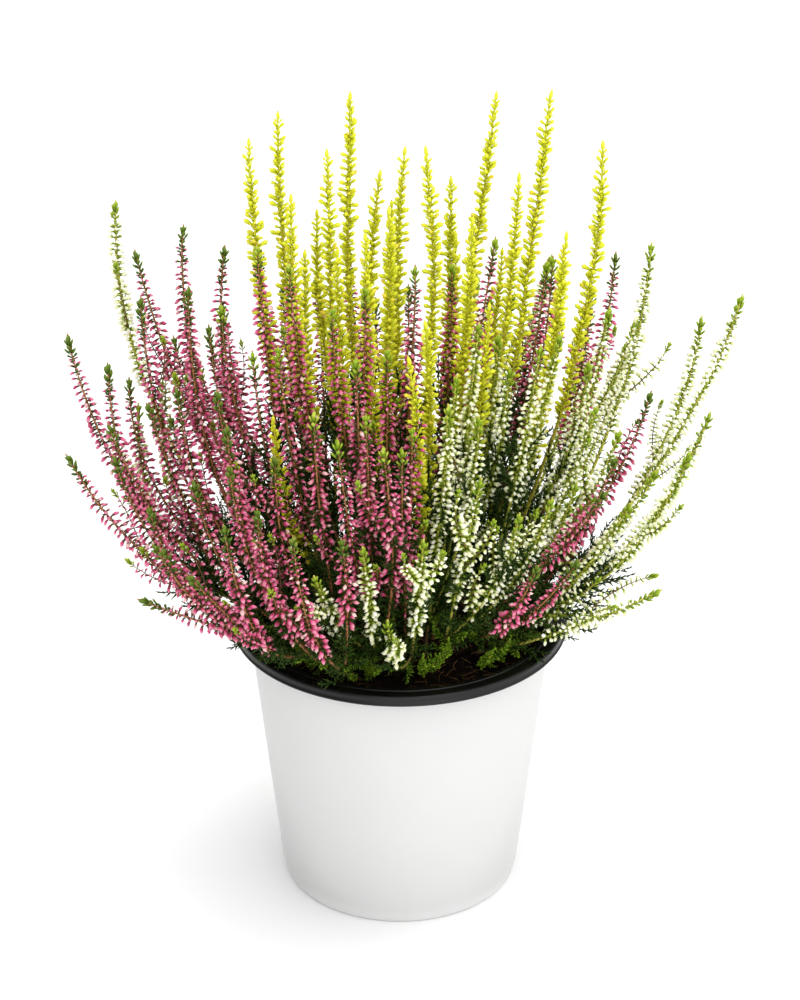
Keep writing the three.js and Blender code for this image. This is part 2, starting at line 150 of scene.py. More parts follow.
# Each kind of spike: how much of it is in flower or bud, how long that can be, and its stem's radius at
# the tip and at the foot.
FLOWER_SHARE = {"yellow": 0.75, "pink": 0.6, "white": 0.6, "green": 0.75}
FLOWER_LONGEST = {"yellow": 115 * MM, "pink": 84 * MM, "white": 84 * MM, "green": 40 * MM}
STEM_RADII = {
    "yellow": (0.34 * MM, 0.85 * MM),
    "pink": (0.32 * MM, 0.8 * MM),
    "white": (0.4 * MM, 0.9 * MM),
    "green": (0.25 * MM, 0.5 * MM),
}


# ---- Writing node trees ----
class Wire:
    """A node's output. Arithmetic on it adds Math nodes."""

    def __init__(self, graph, socket):
        self.graph = graph
        self.socket = socket

    def __add__(self, other):
        return self.graph.math("ADD", self, other)

    def __sub__(self, other):
        return self.graph.math("SUBTRACT", self, other)

    def __rsub__(self, other):
        return self.graph.math("SUBTRACT", other, self)

    def __mul__(self, other):
        return self.graph.math("MULTIPLY", self, other)

    def __truediv__(self, other):
        return self.graph.math("DIVIDE", self, other)

    def __lt__(self, other):
        return self.graph.math("LESS_THAN", self, other)

    def __gt__(self, other):
        return self.graph.math("GREATER_THAN", self, other)

    __radd__ = __add__
    __rmul__ = __mul__

    def __rtruediv__(self, other):
        return self.graph.math("DIVIDE", other, self)


class Graph:
    """A node tree that is written as calls and expressions."""

    def __init__(self, tree):
        self.tree = tree

    def node(self, kind, settings=None, sockets=None, out=None):
        node = self.tree.nodes.new(kind)
        for name, value in (settings or {}).items():
            setattr(node, name, value)
        for name, value in (sockets or {}).items():
            socket = self.find(node.inputs, name)
            if isinstance(value, Wire):
                self.tree.links.new(value.socket, socket)
            else:
                socket.default_value = value
        return Wire(self, self.find(node.outputs, out))

    @staticmethod
    def find(sockets, name):
        """A socket by its place, its identifier or its shown name; with none of them, the first in use."""
        if isinstance(name, int):
            return sockets[name]
        in_use = [socket for socket in sockets if socket.enabled]
        if name is None:
            return in_use[0]
        exact = [socket for socket in sockets if socket.identifier == name]
        return (exact + [socket for socket in in_use if socket.name == name])[0]

    def math(self, operation, one, other):
        return self.node("ShaderNodeMath", {"operation": operation}, {0: one, 1: other})

    def mix(self, factor, one, other):
        """Blends two colours."""
        return self.node(
            "ShaderNodeMix",
            {"data_type": "RGBA"},
            {"Factor_Float": factor, "A_Color": one, "B_Color": other},
            out="Result_Color",
        )

    def smooth(self, value, start, end):
        """0 before start, 1 after end, with an even turn in between."""
        return self.node(
            "ShaderNodeMapRange",
            {"interpolation_type": "SMOOTHSTEP"},
            {"Value": value, "From Min": start, "From Max": end},
        )

    def measure(self, name):
        """The number that each point carries under this name."""
        settings = {"data_type": "FLOAT"}
        return self.node("GeometryNodeInputNamedAttribute", settings, {"Name": name}, out="Attribute")

    def carry(self, geometry, domain, name, value):
        """Gives each point or instance a number under this name."""
        settings = {"data_type": "FLOAT", "domain": domain}
        sockets = {"Geometry": geometry, "Name": name, "Value": value}
        return self.node("GeometryNodeStoreNamedAttribute", settings, sockets)

    def chance(self, seed, low, high):
        """A random number from low to high for each point."""
        sockets = {"Min_001": low, "Max_001": high, "Seed": seed}
        return self.node("FunctionNodeRandomValue", {"data_type": "FLOAT"}, sockets, out=1)

    def spaced(self, edges, length):
        """A mesh's edges as curves, with their points this far apart."""
        curve = self.node("GeometryNodeMeshToCurve", {}, {"Mesh": edges})
        sockets = {"Curve": curve, "Length": length}
        return self.node("GeometryNodeResampleCurve", {"mode": "LENGTH"}, sockets)


SOCKET_KINDS = {bool: "Bool", int: "Int", float: "Float"}


def new_geometry_graph(name, inputs):
    """A Geometry Nodes tree with a Geometry input and these, each given as its first value, or as the
    kind of its socket."""
    tree = bpy.data.node_groups.new(name, "GeometryNodeTree")
    tree.interface.new_socket("Geometry", in_out="OUTPUT", socket_type="NodeSocketGeometry")
    for label, value in {"Geometry": "Geometry", **inputs}.items():
        kind = SOCKET_KINDS.get(type(value), value)
        item = tree.interface.new_socket(label, in_out="INPUT", socket_type=f"NodeSocket{kind}")
        if kind != value:
            item.default_value = value
    graph = Graph(tree)
    entry = tree.nodes.new("NodeGroupInput")
    return graph, {label: Wire(graph, entry.outputs[label]) for label in ("Geometry", *inputs)}


def finish_geometry_graph(graph, geometry, material, painted=True):
    """Ends a tree with plain geometry that wears its material, or keeps its own where it isn't painted."""
    plain = graph.node("GeometryNodeRealizeInstances", {}, {"Geometry": geometry})
    sockets = {"Geometry": plain, "Material": material, "Selection": painted}
    dressed = graph.node("GeometryNodeSetMaterial", {}, sockets)
    end = graph.tree.nodes.new("NodeGroupOutput")
    graph.tree.links.new(dressed.socket, end.inputs["Geometry"])
    return graph.tree


def evaluated_mesh(source):
    """The plain mesh that an object's modifiers make."""
    return bpy.data.meshes.new_from_object(source.evaluated_get(bpy.context.evaluated_depsgraph_get()))


def grow(tree, source, values):
    """The plain mesh that a Geometry Nodes tree makes from a source object."""
    modifier = source.modifiers.new(tree.name, "NODES")
    modifier.node_group = tree
    for item in tree.interface.items_tree:
        if item.in_out == "INPUT" and item.name in values:
            modifier[item.identifier] = values[item.name]
    mesh = evaluated_mesh(source)
    source.modifiers.remove(modifier)
    return mesh


# ---- Objects, paths and rounds ----
def linked(name, data):
    """A new object in the scene."""
    item = bpy.data.objects.new(name, data)
    bpy.context.scene.collection.objects.link(item)
    return item


def carry(mesh, **measures):
    """Gives each point of a mesh a number under each of these names."""
    for label, values in measures.items():
        mesh.attributes.new(label, "FLOAT", "POINT").data.foreach_set("value", values)


def path(name, points, edges, **measures):
    """Edges through points, which carry these measures."""
    mesh = bpy.data.meshes.new(name)
    mesh.from_pydata(points, edges, [])
    carry(mesh, **measures)
    return linked(name, mesh)


def circle(radius, count):
    """Points evenly round the axis, as (x, y)."""
    turns = [2 * math.pi * n / count for n in range(count)]
    return [(radius * math.cos(turn), radius * math.sin(turn)) for turn in turns]


def shade_smooth(mesh):
    mesh.polygons.foreach_set("use_smooth", [True] * len(mesh.polygons))


# ---- Colours and finishes ----
def colour(red, green, blue):
    """A colour given as it looks on a screen, 0 to 255, as the light that the shader wants."""
    def linear(share):
        return share / 12.92 if share <= 0.04045 else ((share + 0.055) / 1.055) ** 2.4
    return (*[linear(part / 255) for part in (red, green, blue)], 1.0)


class Finish(Graph):
    """A material, with the graph that leads to its shader. Constants go on the shader's own sockets."""

    def __init__(self, name, **constants):
        self.material = bpy.data.materials.new(name)
        self.material.use_nodes = True
        super().__init__(self.material.node_tree)
        self.shader = self.tree.nodes["Principled BSDF"]
        for label, value in constants.items():
            self.shader.inputs[label.replace("_", " ")].default_value = value

    def attribute(self, name):
        return self.node("ShaderNodeAttribute", {"attribute_name": name}, out="Fac")

    def grain(self, scale, detail=2.0, roughness=0.5):
        """Noise in the piece's own space, about 0 to 1."""
        place = self.node("ShaderNodeTexCoord", out="Object")
        sockets = {"Vector": place, "Scale": scale, "Detail": detail, "Roughness": roughness}
        return self.node("ShaderNodeTexNoise", {}, sockets, out="Fac")

    def relief(self, height, strength, distance=0.1 * MM):
        """Fine bumps of this height over the surface."""
        sockets = {"Height": height, "Strength": strength, "Distance": distance}
        return self.node("ShaderNodeBump", {}, sockets)

    def wired(self, **wires):
        """The material, once these lead to the shader's sockets."""
        for label, wire in wires.items():
            self.tree.links.new(wire.socket, self.shader.inputs[label.replace("_", " ")])
        return self.material


def cover_plastic():
    finish = Finish("cover_plastic", Specular_IOR_Level=0.4)
    cloud = finish.grain(18.0, 4.0)
    scuff = finish.smooth(finish.grain(160.0, 6.0, 0.7), 0.62, 0.8)
    base = finish.mix(cloud, colour(211, 211, 211), colour(218, 218, 217))
    base = finish.mix(scuff * 0.25, base, colour(212, 210, 206))
    orange_peel = finish.grain(900.0)
    return finish.wired(
        Base_Color=base,
        Roughness=0.36 + cloud * 0.1 + scuff * 0.12,
        Normal=finish.relief(orange_peel + cloud * 2, 0.12),
    )


def nursery_plastic():
    finish = Finish("nursery_plastic", Specular_IOR_Level=0.5)
    cloud = finish.grain(30.0, 4.0)
    dust = finish.smooth(finish.grain(700.0, 5.0, 0.65), 0.6, 0.78)
    base = finish.mix(cloud, colour(12, 12, 13), colour(20, 20, 21))
    base = finish.mix(dust * 0.25, base, colour(70, 62, 54))
    return finish.wired(
        Base_Color=base,
        Roughness=0.26 + cloud * 0.16 + dust * 0.2,
        Normal=finish.relief(finish.grain(1200.0, 3.0), 0.15),
    )


def peat():
    finish = Finish("soil", Specular_IOR_Level=0.15)
    lumps = finish.grain(260.0, 6.0, 0.65)
    patches = finish.grain(60.0, 3.0)
    base = finish.mix(patches, colour(18, 13, 10), colour(36, 26, 19))
    base = finish.mix(finish.smooth(lumps, 0.5, 0.8), base, colour(78, 58, 40))
    return finish.wired(
        Base_Color=base, Roughness=0.82 + lumps * 0.16, Normal=finish.relief(lumps, 0.8, 0.6 * MM)
    )


def peat_fibre():
    finish = Finish("soil_fibre", Specular_IOR_Level=0.2)
    tint = finish.attribute("tint")
    base = finish.mix(tint, colour(80, 56, 36), colour(176, 138, 94))
    return finish.wired(Base_Color=base, Roughness=0.7 + finish.grain(400.0) * 0.2)


def stem_bark(name, young, old, woody):
    """Bark from the young tip, over the old stem, down to the woody foot, with pale streaks of painted
    highlight.
    """
    finish = Finish(name, Specular_IOR_Level=0.45)
    streaks_and_highlights = finish.grain(900.0, 4.0)
    aged = finish.smooth(finish.attribute("down"), *BARK_AGES)
    low = finish.smooth(finish.attribute("rise"), *BARK_WOODY)
    base = finish.mix(aged, young, old)
    base = finish.mix(low, base, woody)
    # The pale streaks in the bark's colour are painted highlights; the same noise also roughens and bumps
    # the bark.
    base = finish.mix(streaks_and_highlights * 0.35, base, colour(226, 190, 150))
    return finish.wired(
        Base_Color=base, Roughness=0.42 + streaks_and_highlights * 0.25, Normal=finish.relief(streaks_and_highlights, 0.4)
    )


def floret_skin(name, foot, body, deep, lip, calyx):
    """A bud: its green calyx, then colour that deepens or pales from bud to bud, then a paler lip that is
    partly the bud's own pale tip and partly a painted highlight.
    """
    finish = Finish(name, Specular_IOR_Level=0.35)
    along = finish.attribute("along")
    tint = finish.attribute("tint")
    mottle = finish.grain(1400.0, 3.0)
    petal = finish.mix(tint, body, deep)
    petal = finish.mix(finish.smooth(tint, 0.91, 0.97), petal, lip)
    petal = finish.mix(finish.smooth(along, 0.68, 0.36), petal, foot)
    # Paler towards the tip: partly the bud's own pale lip, partly a painted highlight.
    petal = finish.mix(finish.smooth(along, 0.62, 1.0) * (0.25 + mottle * 0.6), petal, lip)
    green = finish.attribute("green")
    base = finish.mix(green, petal, finish.mix(mottle, calyx, colour(58, 74, 26)))
    return finish.wired(Base_Color=base, Roughness=0.45 + mottle * 0.2, Normal=finish.relief(mottle, 0.3))


def leaf_skin(name, shaded, sunlit, tipped):
    """Scale leaves with painted shade at their foot and painted sunlight towards the tip, and a few that
    turn towards a third colour at the tip.
    """
    finish = Finish(name, Specular_IOR_Level=0.4)
    along = finish.attribute("along")
    tint = finish.attribute("tint")
    mottle = finish.grain(1100.0, 3.0)
    # Painted shade and sunlight: darker at the leaf's foot and lighter along it, broken by a random
    # mottle.
    base = finish.mix(along * 0.6 + mottle * 0.5, shaded, sunlit)
    base = finish.mix(finish.smooth(tint, 0.86, 1.0) * finish.smooth(along, 0.3, 1.0), base, tipped)
    return finish.wired(
        Base_Color=base, Roughness=0.42 + mottle * 0.25, Normal=finish.relief(mottle, 0.3)
    )


def studio_floor():
    finish = Finish("studio_floor", Specular_IOR_Level=0.1, Roughness=0.9)
    cloud = finish.grain(1.5)
    return finish.wired(Base_Color=finish.mix(cloud, colour(250, 250, 250), colour(252, 252, 252)))


# ---- Small pieces that repeat along the stems ----
class Cluster:
    """Collects closed spindles into one small mesh, with where each point lies along its spindle."""

    def __init__(self):
        self.points = []
        self.faces = []
        self.along = []
        self.green = []

    def needle(self, length, radius, place=Matrix.Identity(4), green=0.0):
        """The least body that reads as a leaf: three sides that meet in a point."""
        first = len(self.points)
        self.points += [place @ Vector((x, y, 0)) for x, y in circle(radius, 3)]
        self.points.append(place @ Vector((0, 0, length)))
        self.along += [0.0, 0.0, 0.0, 1.0]
        self.green += [green] * 4
        for corners in ((0, 2, 1), (0, 1, 3), (1, 2, 3), (2, 0, 3)):
            self.faces.append(tuple(first + corner for corner in corners))

    def bracts(self, length, radius, degrees, out, up, green=0.0):
        """A needle on either side, leant outwards."""
        for turn in (0.5 * math.pi, 1.5 * math.pi):
            self.needle(length, radius, leaning(degrees, turn, out, up), green)

    def spindle(self, rings, length, sides, place=Matrix.Identity(4), flat=1.0, green=0.0, bend=0.0):
        """A body that starts and ends in a point, through rings of (share of length, radius), and
        bends to one side on its way."""
        first = len(self.points)
        local = [Vector((0, 0, 0))]
        shares = [0.0]
        for share, radius in rings:
            for x, y in circle(1.0, sides):
                across = Vector((radius * flat * x, radius * y, 0))
                local.append(across + Vector((bend * share ** 2, 0, share * length)))
                shares.append(share)
        local.append(Vector((bend, 0, length)))
        shares.append(1.0)
        self.points += [place @ point for point in local]
        self.along += shares
        self.green += [green] * len(local)
        last = len(self.points) - 1
        for side in range(sides):
            after = (side + 1) % sides
            self.faces.append((first, first + 1 + after, first + 1 + side))
            for ring in range(len(rings) - 1):
                low = first + 1 + ring * sides
                high = low + sides
                self.faces.append((low + side, low + after, high + after, high + side))
            top = last - sides
            self.faces.append((top + side, top + after, last))

    def build(self, name):
        mesh = bpy.data.meshes.new(name)
        mesh.from_pydata([tuple(point) for point in self.points], [], self.faces)
        shade_smooth(mesh)
        carry(mesh, along=self.along, green=self.green)
        return linked(name, mesh)


def leaning(degrees, turn, out=0.0, up=0.0):
    """A place turned round the stem, then leant outwards, that starts a little out and up."""
    shift = Matrix.Translation((out, 0, up))
    return Matrix.Rotation(turn, 4, "Z") @ shift @ Matrix.Rotation(math.radians(degrees), 4, "Y")


def make_pink_floret():
    """A closed bell that hangs from a bent stalk, between two dark bracts."""
    floret = Cluster()
    floret.spindle([(0.36, 0.4 * MM), (0.74, 0.86 * MM)], 4.2 * MM, 4, bend=1.3 * MM)
    floret.bracts(1.8 * MM, 0.36 * MM, 18, out=0.15 * MM, up=0.7 * MM, green=1.0)
    return floret.build("pink_floret")


def make_white_floret():
    """A closed bell that swells close to the stem, with short green bracts under it."""
    floret = Cluster()
    floret.spindle([(0.36, 0.46 * MM), (0.74, 0.94 * MM)], 3.9 * MM, 4, bend=0.8 * MM)
    floret.bracts(1.8 * MM, 0.38 * MM, 22, out=0.15 * MM, up=0.3 * MM, green=1.0)
    return floret.build("white_floret")


def make_needle():
    needle = Cluster()
    needle.needle(2.0 * MM, 0.3 * MM)
    return needle.build("needle")


def make_leaf():
    leaf = Cluster()
    leaf.spindle([(0.5, 0.4 * MM)], 2.0 * MM, 3, flat=0.6)
    return leaf.build("leaf")


def make_blunt_leaf():
    leaf = Cluster()
    leaf.spindle([(0.35, 0.48 * MM), (0.78, 0.42 * MM)], 2.0 * MM, 3, flat=0.7)
    return leaf.build("blunt_leaf")


def make_leafy_tip():
    """The end of a shoot, below its point: a bud in overlapping pairs of leaves."""
    tip = Cluster()
    foot = Matrix.Translation((0, 0, -4.4 * MM))
    tip.spindle([(0.3, 0.6 * MM), (0.62, 0.6 * MM)], 4.6 * MM, 5, foot)
    pairs = ((3.3, 18, 2.7), (4.5, 26, 3.1), (5.7, 32, 3.1), (6.9, 38, 2.9))
    for step, (drop_by, spread, length) in enumerate(pairs):
        for side in range(2):
            turn = math.pi * (side + 0.5 * step) + 0.3
            place = Matrix.Translation((0, 0, -drop_by * MM)) @ leaning(spread, turn, 0.15 * MM)
            tip.spindle([(0.4, 0.6 * MM), (0.75, 0.58 * MM)], length * MM, 4, place, 0.6)
    return tip.build("leafy_tip")


def make_blunt_tip():
    """The end of a yellow spike: a smooth bud over one pair of short buds."""
    tip = Cluster()
    foot = Matrix.Translation((0, 0, -4.4 * MM))
    tip.spindle([(0.25, 0.85 * MM), (0.65, 0.8 * MM)], 4.6 * MM, 6, foot)
    for side in range(2):
        place = Matrix.Translation((0, 0, -5.6 * MM)) @ leaning(42, math.pi * side + 0.3)
        tip.spindle([(0.4, 0.4 * MM), (0.8, 0.56 * MM)], 2.7 * MM, 5, place)
    return tip.build("blunt_tip")


def make_club_bud():
    """A short side bud, thicker towards its end, with a leaf on either side."""
    bud = Cluster()
    bud.spindle([(0.4, 0.38 * MM), (0.78, 0.54 * MM)], 2.9 * MM, 4)
    bud.bracts(2.1 * MM, 0.4 * MM, 30, out=0.1 * MM, up=0.4 * MM)
    return bud.build("club_bud")


def make_crumb():
    """A lump of soil with uneven sides."""
    shape = bmesh.new()
    bmesh.ops.create_icosphere(shape, subdivisions=1, radius=1.0 * MM)
    for corner in shape.verts:
        corner.co *= 1.0 + CRUMB_UNEVENNESS * noise.noise(corner.co * CRUMB_LUMPS)
        corner.co.z *= CRUMB_FLATNESS
    mesh = bpy.data.meshes.new("crumb")
    shape.to_mesh(mesh)
    shape.free()
    return linked("crumb", mesh)


# ---- Geometry Nodes trees ----
def set_pieces(graph, piece, points, rotation, scale, tint):
    """Sets a small piece at every point, each with its own tint."""
    shape = graph.node("GeometryNodeObjectInfo", {}, {"Object": piece}, out="Geometry")
    instances = graph.node("GeometryNodeInstanceOnPoints", {}, {
        "Points": points, "Instance": shape, "Rotation": rotation, "Scale": scale,
    })
    return graph.carry(instances, "INSTANCE", "tint", tint)


def whorl_tree():
    """Sets a small piece in whorls along stems. Stems carry, at each point, how far down from the
    tip it is, how far below the last flower, and how far up from the soil."""
    graph, given = new_geometry_graph("Whorls along stems", {
        "Piece": "Object",
        "Material": "Material",
        "Painted": True,
        "Pitch": 2 * MM,
        "Per Whorl": 2,
        "Least Down": -1.0,
        "Most Down": 1.0,
        "Least Below": -1.0,
        "Most Below": 1.0,
        "Least Rise": 0.0,
        "Most Rise": 1.0,
        "Grow From": 0.0,
        "Grow To": 20 * MM,
        "Tip Size": 1.0,
        "Size": 1.0,
        "Tip Lean": 0.5,
        "Lean": 1.0,
        "Looseness": 0.15,
        "Kept": 1.0,
        "Seed": 1,
    })
    spaced = graph.spaced(given["Geometry"], given["Pitch"])
    points = graph.node("GeometryNodeCurveToPoints", {"mode": "EVALUATED"}, {"Curve": spaced})
    tangent = Wire(graph, points.socket.node.outputs["Tangent"])

    def chance(low, high, step):
        return graph.chance(given["Seed"] + step, low, high)

    down, below, rise = graph.measure("down"), graph.measure("below"), graph.measure("rise")
    outside = (
        (down < given["Least Down"]) + (down > given["Most Down"]) + (below < given["Least Below"])
        + (below > given["Most Below"]) + (rise < given["Least Rise"]) + (rise > given["Most Rise"])
        + (chance(0.0, 1.0, 5) > given["Kept"])
    )
    index = graph.node("GeometryNodeInputIndex")
    numbered = graph.carry(points, "POINT", "whorl", index)
    kept = graph.node(
        "GeometryNodeDeleteGeometry", {"domain": "POINT"}, {"Geometry": numbered, "Selection": outside}
    )
    sockets = {"Geometry": kept, "Amount": given["Per Whorl"]}
    whorls = graph.node("GeometryNodeDuplicateElements", {"domain": "POINT"}, sockets)
    place = Wire(graph, whorls.socket.node.outputs["Duplicate Index"])

    loose = given["Looseness"]
    grown = graph.smooth(down, given["Grow From"], given["Grow To"])
    step = 2 * math.pi / given["Per Whorl"]
    twist = graph.measure("whorl") * (step * 0.5 + WHORL_TWIST)
    turn = place * step + twist + graph.measure("spike") * SPIKE_TURN
    lean = given["Tip Lean"] + (given["Lean"] - given["Tip Lean"]) * grown
    size = given["Tip Size"] + (given["Size"] - given["Tip Size"]) * grown
    angles = graph.node("ShaderNodeCombineXYZ", {}, {
        "X": chance(-1.0, 1.0, 1) * loose,
        "Y": lean + chance(-1.0, 1.0, 2) * loose,
        "Z": turn + chance(-CHANCE_TURN, CHANCE_TURN, 3) * loose,
    })
    upright = graph.node("FunctionNodeAlignRotationToVector", {"axis": "Z"}, {"Vector": tangent})
    rotation = graph.node("FunctionNodeRotateRotation", {"rotation_space": "LOCAL"}, {
        "Rotation": upright,
        "Rotate By": graph.node("FunctionNodeEulerToRotation", {}, {"Euler": angles}),
    })
    scale = size * (1.0 + chance(*CHANCE_SIZE, 4) * loose)
    pieces = set_pieces(graph, given["Piece"], whorls, rotation, scale, chance(0.0, 1.0, 6))
    return finish_geometry_graph(graph, pieces, given["Material"], given["Painted"])


def stem_tree():
    """Round stems that thicken from the tip to the foot."""
    graph, given = new_geometry_graph("Stems", {
        "Material": "Material",
        "Step": 4 * MM,
        "Sides": 5,
        "Tip Radius": 0.25 * MM,
        "Foot Radius": 0.7 * MM,
        "Thickens Over": 150 * MM,
    })
    share = graph.math("MINIMUM", graph.measure("down") / given["Thickens Over"], 1.0)
    radius = given["Tip Radius"] + (given["Foot Radius"] - given["Tip Radius"]) * share
    sockets = {"Resolution": given["Sides"], "Radius": 1.0}
    profile = graph.node("GeometryNodeCurvePrimitiveCircle", {}, sockets)
    tube = graph.node("GeometryNodeCurveToMesh", {}, {
        "Curve": graph.spaced(given["Geometry"], given["Step"]),
        "Profile Curve": profile,
        "Scale": radius,
        "Fill Caps": True,
    })
    return finish_geometry_graph(graph, tube, given["Material"])


def scatter_tree():
    """Strews a small piece over a surface."""
    graph, given = new_geometry_graph("Strewn over a surface", {
        "Piece": "Object",
        "Material": "Material",
        "Density": 1000.0,
        "Least Size": 0.4,
        "Most Size": 1.0,
        "Tilt": 3.0,
        "Seed": 1,
    })
    points = graph.node("GeometryNodeDistributePointsOnFaces", {}, {
        "Mesh": given["Geometry"], "Density": given["Density"], "Seed": given["Seed"],
    })

    def chance(low, high, step):
        return graph.chance(given["Seed"] + step, low, high)

    tilt = given["Tilt"]
    angles = graph.node("ShaderNodeCombineXYZ", {}, {
        "X": chance(-1.0, 1.0, 1) * tilt,
        "Y": chance(-1.0, 1.0, 2) * tilt,
        "Z": chance(0.0, 6.3, 3),
    })
    rotation = graph.node("FunctionNodeEulerToRotation", {}, {"Euler": angles})
    scale = chance(given["Least Size"], given["Most Size"], 4)
    pieces = set_pieces(graph, given["Piece"], points, rotation, scale, chance(0.0, 1.0, 5))
    return finish_geometry_graph(graph, pieces, given["Material"])


# ---- Stems read from the frame ----
def welded(node):
    """A CAD node's corners, each once, and the corners that share an edge with each."""
    corners = np.array([vertex.co for vertex in node.data.vertices])
    keys = np.round(corners / (0.001 * MM)).astype(np.int64)
    _, first, index = np.unique(keys, axis=0, return_index=True, return_inverse=True)
    index = index.ravel()
    near = [set() for _ in first]
    for face in node.data.polygons:
        ends = [index[vertex] for vertex in face.vertices]
        for end in ends:
            near[end].update(ends)
    return corners[first], near


def rings_below(apex, corners, near):
    """The centres of the four-cornered rings that follow down from a spike's tip."""
    seen = {apex}
    layer = {apex}
    centres = []
    while True:
        layer = set().union(*(near[corner] for corner in layer)) - seen
        if len(layer) != 4:
            return np.array(centres)
        seen |= layer
        centres.append(corners[list(layer)].mean(axis=0))


def curve_at(root, middle, tip, share):
    share = np.atleast_1d(share)[:, None]
    return (1 - share) ** 2 * root + 2 * share * (1 - share) * middle + share ** 2 * tip


def fit_middle(root, tip, centres):
    """The middle point of the curve from root to tip that passes the centres, and how far it misses."""
    shares = np.linspace(0, 1, FIT_POINTS)
    middle = (root + tip) / 2
    span = np.linalg.norm(tip - root)
    near = 1 - np.linalg.norm(centres - tip, axis=1) / span
    near = np.clip(near, *FIT_SHARES)
    for _ in range(FIT_ROUNDS):
        weight = (2 * near * (1 - near))[:, None]
        rest = centres - ((1 - near) ** 2)[:, None] * root - (near ** 2)[:, None] * tip
        middle = (weight * rest).sum(axis=0) / (weight ** 2).sum()
        line = curve_at(root, middle, tip, shares)
        apart = np.linalg.norm(centres[:, None] - line[None], axis=2)
        near = np.clip(shares[apart.argmin(axis=1)], *FIT_SHARES)
    return middle, float(np.sqrt((apart.min(axis=1) ** 2).mean()))


def read_spikes(node):
    """The curves of a spray's spikes, as (root, middle, tip). The first grows from the soil, and the
    others fork from it."""
    corners, near = welded(node)
    low = corners[:, 2].min()
    foot = corners[corners[:, 2] < low + FOOT_SLICE].mean(axis=0)
    foot[2] = SOIL_TOP
    height = np.linalg.norm(corners - foot, axis=1)
    apexes = [
        corner for corner, around in enumerate(near)
        if corners[corner][2] > SOIL_TOP + LOWEST_TIP
        and all(height[corner] >= height[other] for other in around)
    ]
    found = []
    for apex in apexes:
        centres = rings_below(apex, corners, near)
        if len(centres):
            clear = centres[centres[:, 2] > SOIL_TOP + LOWEST_RING]
            found.append((corners[apex], clear if len(clear) else centres))
    fits = [fit_middle(foot, tip, centres) for tip, centres in found]
    leader = int(np.argmin([miss for _, miss in fits]))
    tip = found[leader][0]
    stem = (foot, fits[leader][0], tip)
    spikes = [stem]
    fork_share = max(FORK_SHARE, FORK_RISE / (tip[2] - SOIL_TOP))
    fork = curve_at(*stem, fork_share)[0]
    for number, (tip, centres) in enumerate(found):
        if number != leader:
            spikes.append((fork, fit_middle(fork, tip, centres)[0], tip))
    return spikes, fork_share


def stem_paths(name, spikes, fork_share, kind, seed):
    """A mesh of edges along a spray's stems, with the measures that the trees read."""
    points, edges, down, below, rise, spike_tint = [], [], [], [], [], []
    fork_rise = 0.0
    for number, (root, middle, tip) in enumerate(spikes):
        line = curve_at(root, middle, tip, np.linspace(0, 1, PATH_POINTS))
        steps = np.linalg.norm(np.diff(line, axis=0), axis=1)
        length = steps.sum()
        flower = min(FLOWER_LONGEST[kind], FLOWER_SHARE[kind] * length)
        passed = np.concatenate([[0], np.cumsum(steps)])
        phase = seed * SPRAY_PHASE + number * SPIKE_PHASE
        for point, way in zip(line, passed):
            free = min(1.0, way / WANDER_LENGTH)
            place = Vector((phase, phase * 0.5, way / WANDER_LENGTH))
            point[:2] += free * WANDER * np.array(noise.noise_vector(place)[:2]) * 2
        if number == 0:
            line = np.vstack([line[0] - [0, 0, STEM_BURIED], line])
            passed = np.concatenate([[-STEM_BURIED], passed])
            fork_rise = fork_share * length
        first = len(points)
        points += [tuple(point) for point in line]
        edges += [(n, n + 1) for n in range(first, first + len(line) - 1)]
        down += list(length - passed)
        below += list(length - passed - flower)
        rise += list(passed + (fork_rise if number else 0.0))
        spike_tint += [noise.random()] * len(line)
    return path(name, points, edges, down=down, below=below, rise=rise, spike=spike_tint)


# ---- Pieces of the object ----
def drop(*objects):
    for item in objects:
        bpy.data.objects.remove(item)


def one_piece(name, meshes):
    """One object of several meshes, which keep their materials."""
    objects = [linked(name, mesh) for mesh in meshes]
    with bpy.context.temp_override(active_object=objects[0], selected_editable_objects=objects):
        bpy.ops.object.join()
    objects[0].name = name
    return objects[0]


def arc(centre, radius, start, end, steps=ARC_STEPS):
    """Points of a round from one angle to another, in degrees."""
    angles = [math.radians(start + (end - start) * n / steps) for n in range(steps + 1)]
    return [(centre[0] + radius * math.cos(a), centre[1] + radius * math.sin(a)) for a in angles]


def turned(name, profile, segments, smooth_angle=math.radians(40)):
    """A closed body turned round the Z axis from (radius, height) pairs, outside first, axis to axis."""
    shape = bmesh.new()
    rings = []
    for radius, height in profile:
        if radius < 1e-7:
            rings.append([shape.verts.new((0, 0, height))] * segments)
            continue
        rings.append([shape.verts.new((x, y, height)) for x, y in circle(radius, segments)])
    for low, high in zip(rings, rings[1:]):
        for n in range(segments):
            after = (n + 1) % segments
            corners = dict.fromkeys((low[n], low[after], high[after], high[n]))
            shape.faces.new(list(corners))
    bmesh.ops.recalc_face_normals(shape, faces=shape.faces)
    mesh = bpy.data.meshes.new(name)
    shape.to_mesh(mesh)
    shape.free()
    shade_smooth(mesh)
    mesh.set_sharp_from_angle(angle=smooth_angle)
    return linked(name, mesh)


def stand_for(piece, node):
    """The finished piece rides with the plant in place of its CAD node."""
    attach(piece, "root")
    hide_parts(node)


